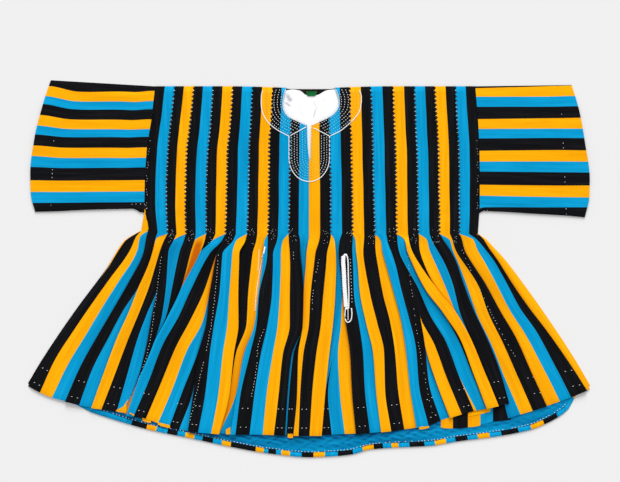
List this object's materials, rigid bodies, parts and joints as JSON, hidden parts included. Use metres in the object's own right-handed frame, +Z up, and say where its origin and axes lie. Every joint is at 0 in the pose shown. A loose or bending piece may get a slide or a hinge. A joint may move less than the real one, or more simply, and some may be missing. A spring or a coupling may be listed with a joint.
{
  "type": "fugu smock, laid flat",
  "caption": "Wide short-length smock of striped handwoven cotton strips with flared pleated skirt, wide open sleeves and a slit neck, laid flat.",
  "frame": {"origin": "centre of the laid-out garment's outline, on the surface that it lies on", "axes": "+X from the left cuff to the right cuff as seen from above, +Y from the hem to the neck, +Z up from the surface through the back to the front"},
  "size_m": [1.378, 0.924, 0.0113],
  "materials": {
    "striped_cotton": "matte handwoven cotton in black, golden yellow and sky blue stripes",
    "blue_facing": "plain matte blue cotton",
    "white_lining": "plain matte white cotton",
    "green_label": "bare woven label",
    "white_thread": "white cotton embroidery and sewing thread"
  },
  "bodies": {
    "root": {"body_back": "striped_cotton", "body_front_left": "striped_cotton", "body_front_right": "striped_cotton", "sleeve_left": "striped_cotton", "sleeve_right": "striped_cotton", "skirt_back": "striped_cotton", "skirt_front": "striped_cotton", "hem_facing_back": "blue_facing", "neck_lining": "white_lining", "neck_label": "green_label"}
  },
  "joints": []
}
